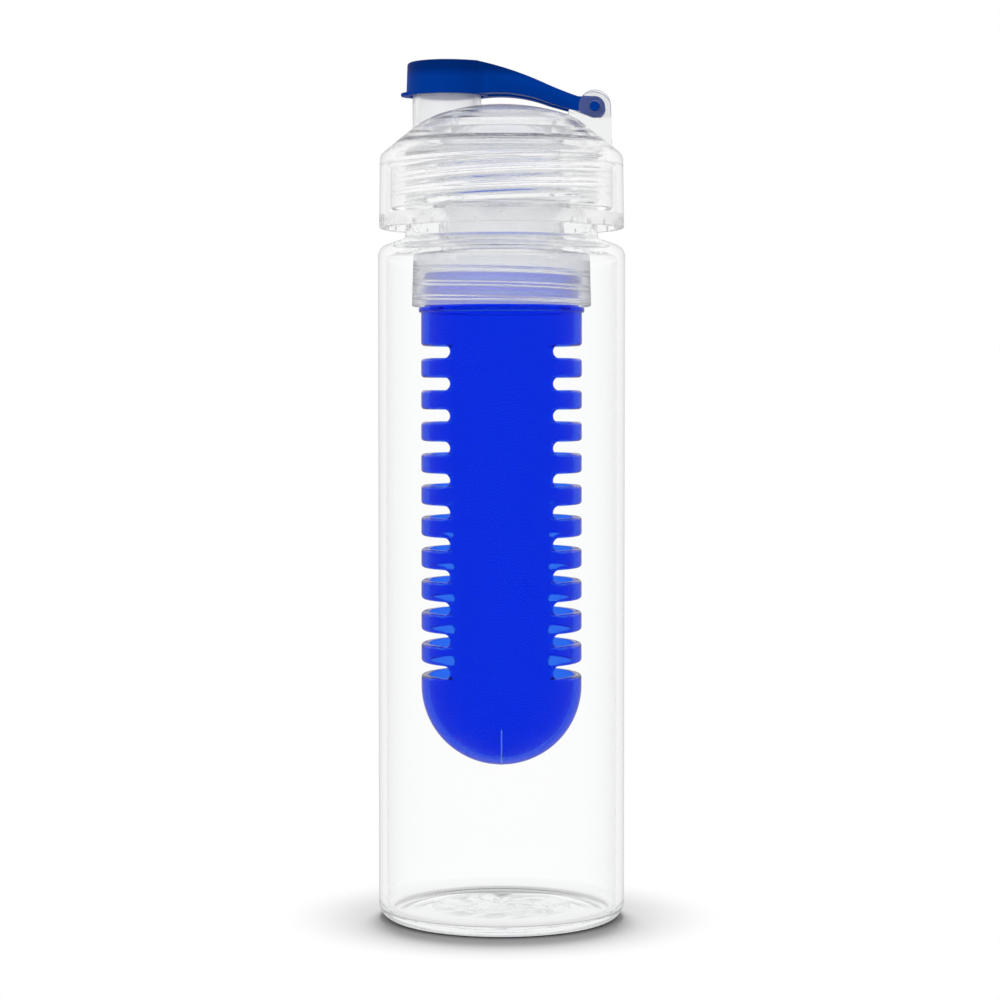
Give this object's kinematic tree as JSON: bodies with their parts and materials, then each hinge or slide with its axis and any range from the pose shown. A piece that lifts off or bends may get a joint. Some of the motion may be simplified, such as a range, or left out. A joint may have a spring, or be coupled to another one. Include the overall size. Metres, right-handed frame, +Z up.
{
  "type": "fruit infuser water bottle",
  "caption": "Clear cylindrical drinking bottle with a screw cap, a hinged lid over a side spout, and a slotted fruit basket that hangs inside from a collar under the cap.",
  "frame": {"origin": "centre of the standing ring, on the surface that the bottle stands on", "axes": "+Z up along the bottle's axis, -X towards the spout, +X towards the lid's hinge, hinge axis along Y"},
  "size_m": [0.073, 0.073, 0.2533],
  "materials": {
    "clear_bottle": "clear polished plastic",
    "clear_cap": "clear polished plastic",
    "frosted_collar": "milky translucent plastic",
    "blue_basket": "translucent blue plastic",
    "blue_lid": "satin blue plastic",
    "silicone": "soft translucent silicone"
  },
  "bodies": {
    "bottle": {"bottle_body": "clear_bottle"},
    "seal": {"neck_seal": "silicone"},
    "infuser_collar": {"collar": "frosted_collar"},
    "cap": {"screw_cap": "clear_cap"},
    "lid": {"flip_lid": "blue_lid", "lid_seal": "silicone", "hinge_pin": "blue_lid"},
    "basket": {"infuser_basket": "blue_basket"}
  },
  "joints": [
    {"name": "lift_out", "type": "slide", "parent": "bottle", "child": "seal", "axis": [0, 0, 1], "range_m": [0, 0.19]},
    {"name": "cap_rise", "type": "slide", "parent": "seal", "child": "infuser_collar", "axis": [0, 0, 1], "range_m": [0, 0.0115]},
    {"name": "cap_turn", "type": "hinge", "parent": "infuser_collar", "child": "cap", "pos_m": [0, 0, 0.2144], "axis": [0, 0, 1], "range_deg": [0, 480]},
    {"name": "lid_flip", "type": "hinge", "parent": "cap", "child": "lid", "pos_m": [0.0273, 0, 0.2398], "axis": [0, 1, 0], "range_deg": [0, 150]},
    {"name": "basket_drop", "type": "slide", "parent": "infuser_collar", "child": "basket", "axis": [0, 0, -1], "range_m": [0, 0.03]}
  ],
  "couplings": [
    {"joint": "cap_rise", "follows": "cap_turn", "m_per_rad": 0.0013687}
  ]
}
